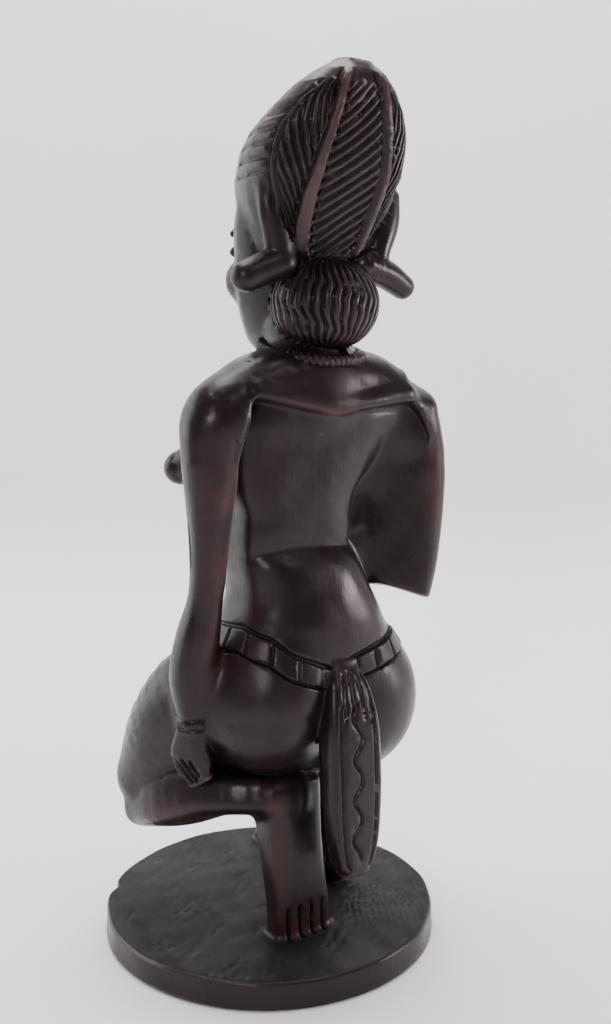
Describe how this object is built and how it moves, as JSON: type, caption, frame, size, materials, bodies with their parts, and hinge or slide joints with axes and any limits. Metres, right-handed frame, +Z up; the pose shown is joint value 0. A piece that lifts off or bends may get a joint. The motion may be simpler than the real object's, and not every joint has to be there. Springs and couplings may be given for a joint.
{
  "type": "kneeling woman wood carving on round base",
  "caption": "Dark hardwood carving of a woman kneeling on one leg on a round base, with tall combed-back hair, a bun, ear plugs, a belt and a hanging cloth.",
  "frame": {"origin": "under the middle of the round base, on the surface it stands on", "axes": "+Z up the figure, she faces -Y, +X is her left"},
  "size_m": [0.119, 0.119, 0.296],
  "materials": {
    "dark_hardwood": "waxed near-black brown hardwood, reddish where rubbed, matt on the base top"
  },
  "bodies": {
    "root": {"kneeling_woman": "dark_hardwood"}
  },
  "joints": []
}
